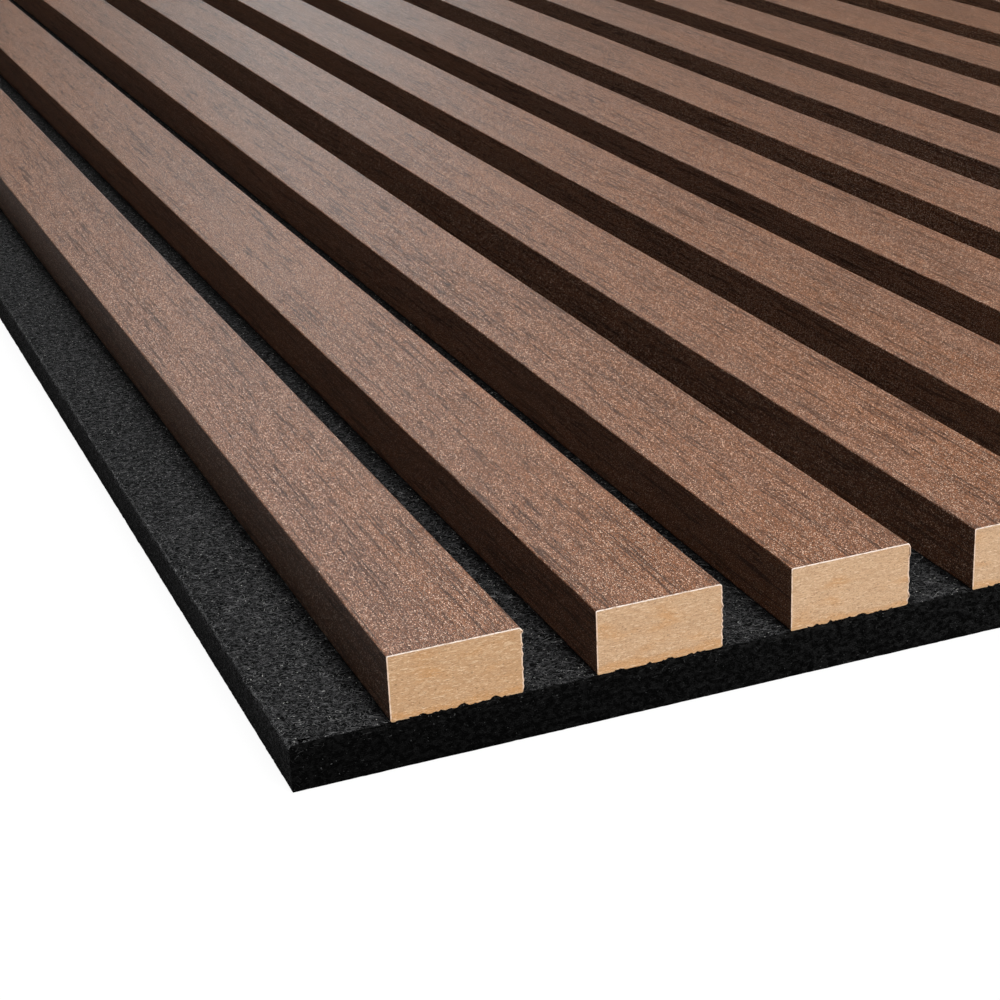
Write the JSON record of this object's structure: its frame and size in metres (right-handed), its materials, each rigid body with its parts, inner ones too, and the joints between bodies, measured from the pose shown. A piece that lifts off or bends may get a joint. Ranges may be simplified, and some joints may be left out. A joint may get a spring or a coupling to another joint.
{
  "type": "acoustic slat wall panel",
  "caption": "Sound-absorbing wall panel: parallel foil-wrapped MDF slats in dark walnut decor, fixed with even gaps on a black felt board with a plain flat back.",
  "frame": {"origin": "centre of the felt's back face, which lies on the floor here and against the wall in use", "axes": "+X across the slats, +Y along the slats, +Z out of the back face towards the room"},
  "size_m": [0.605, 2.4, 0.022],
  "materials": {
    "felt": "needle-punched polyester felt board, black, matt, with short loose fibres",
    "mdf": "sawn medium-density fibreboard, light tan, matt, with fine flecks",
    "walnut_foil": "printed dark walnut decor foil, low satin, with fine embossed pores",
    "staple_steel": "zinc-plated flat wire"
  },
  "bodies": {
    "root": {"felt_backing": "felt", "slat_01_core": "mdf", "slat_02_core": "mdf", "slat_03_core": "mdf", "slat_04_core": "mdf", "slat_05_core": "mdf", "slat_06_core": "mdf", "slat_07_core": "mdf", "slat_08_core": "mdf", "slat_09_core": "mdf", "slat_10_core": "mdf", "slat_11_core": "mdf", "slat_12_core": "mdf", "slat_13_core": "mdf", "slat_14_core": "mdf", "slat_15_core": "mdf", "slat_01_foil": "walnut_foil", "slat_02_foil": "walnut_foil", "slat_03_foil": "walnut_foil", "slat_04_foil": "walnut_foil", "slat_05_foil": "walnut_foil", "slat_06_foil": "walnut_foil", "slat_07_foil": "walnut_foil", "slat_08_foil": "walnut_foil", "slat_09_foil": "walnut_foil", "slat_10_foil": "walnut_foil", "slat_11_foil": "walnut_foil", "slat_12_foil": "walnut_foil", "slat_13_foil": "walnut_foil", "slat_14_foil": "walnut_foil", "slat_15_foil": "walnut_foil", "staples": "staple_steel"}
  },
  "joints": []
}
